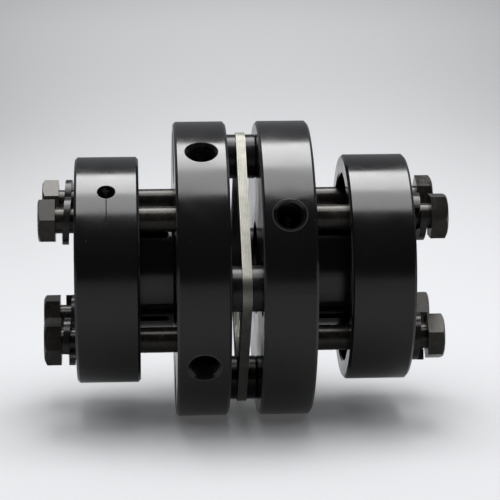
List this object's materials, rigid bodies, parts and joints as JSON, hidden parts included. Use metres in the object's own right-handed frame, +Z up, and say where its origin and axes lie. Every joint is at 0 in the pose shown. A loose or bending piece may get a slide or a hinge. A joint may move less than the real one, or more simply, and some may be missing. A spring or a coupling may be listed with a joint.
{
  "type": "disc coupling",
  "caption": "Flexible disc coupling: two flanged clamping hubs joined by a laminated steel disc pack, with screwed clamp rings that grip two shafts in line.",
  "frame": {"origin": "middle of the disc pack on the shaft axis", "axes": "+X along the shafts from the left half to the right half, +Z up as the coupling lies, -Y towards the viewer"},
  "size_m": [0.1274, 0.094, 0.094],
  "materials": {
    "blackened_steel": "turned, black oxide, satin",
    "blackened_steel_ring": "turned, black oxide, satin",
    "black_screw_steel": "forged, black oxide, oiled",
    "black_spring_steel": "black oxide, satin",
    "black_socket_screw_steel": "black oxide, satin",
    "spacer_steel": "black oxide, satin",
    "stainless_blade": "rolled and edge-cut, bright"
  },
  "bodies": {
    "root": {"left_hub": "blackened_steel", "right_hub": "blackened_steel", "left_clamp_ring": "blackened_steel_ring", "right_clamp_ring": "blackened_steel_ring", "left_clamp_screw_front_top": "black_screw_steel", "left_clamp_screw_back_top": "black_screw_steel", "left_clamp_screw_back_bottom": "black_screw_steel", "left_clamp_screw_front_bottom": "black_screw_steel", "right_clamp_screw_front_top": "black_screw_steel", "right_clamp_screw_back_top": "black_screw_steel", "right_clamp_screw_back_bottom": "black_screw_steel", "right_clamp_screw_front_bottom": "black_screw_steel", "left_spring_washer_front_top": "black_spring_steel", "left_spring_washer_back_top": "black_spring_steel", "left_spring_washer_back_bottom": "black_spring_steel", "left_spring_washer_front_bottom": "black_spring_steel", "right_spring_washer_front_top": "black_spring_steel", "right_spring_washer_back_top": "black_spring_steel", "right_spring_washer_back_bottom": "black_spring_steel", "right_spring_washer_front_bottom": "black_spring_steel", "disc_screw_front": "black_socket_screw_steel", "disc_screw_back": "black_socket_screw_steel", "disc_screw_top": "black_socket_screw_steel", "disc_screw_bottom": "black_socket_screw_steel", "spacer_bush_front": "spacer_steel", "spacer_bush_back": "spacer_steel", "spacer_bush_top": "spacer_steel", "spacer_bush_bottom": "spacer_steel", "screw_collar_front": "spacer_steel", "screw_collar_back": "spacer_steel", "screw_collar_top": "spacer_steel", "screw_collar_bottom": "spacer_steel", "disc_blade_1": "stainless_blade", "disc_blade_2": "stainless_blade", "disc_blade_3": "stainless_blade", "disc_blade_4": "stainless_blade", "disc_blade_5": "stainless_blade", "disc_blade_6": "stainless_blade"}
  },
  "joints": []
}
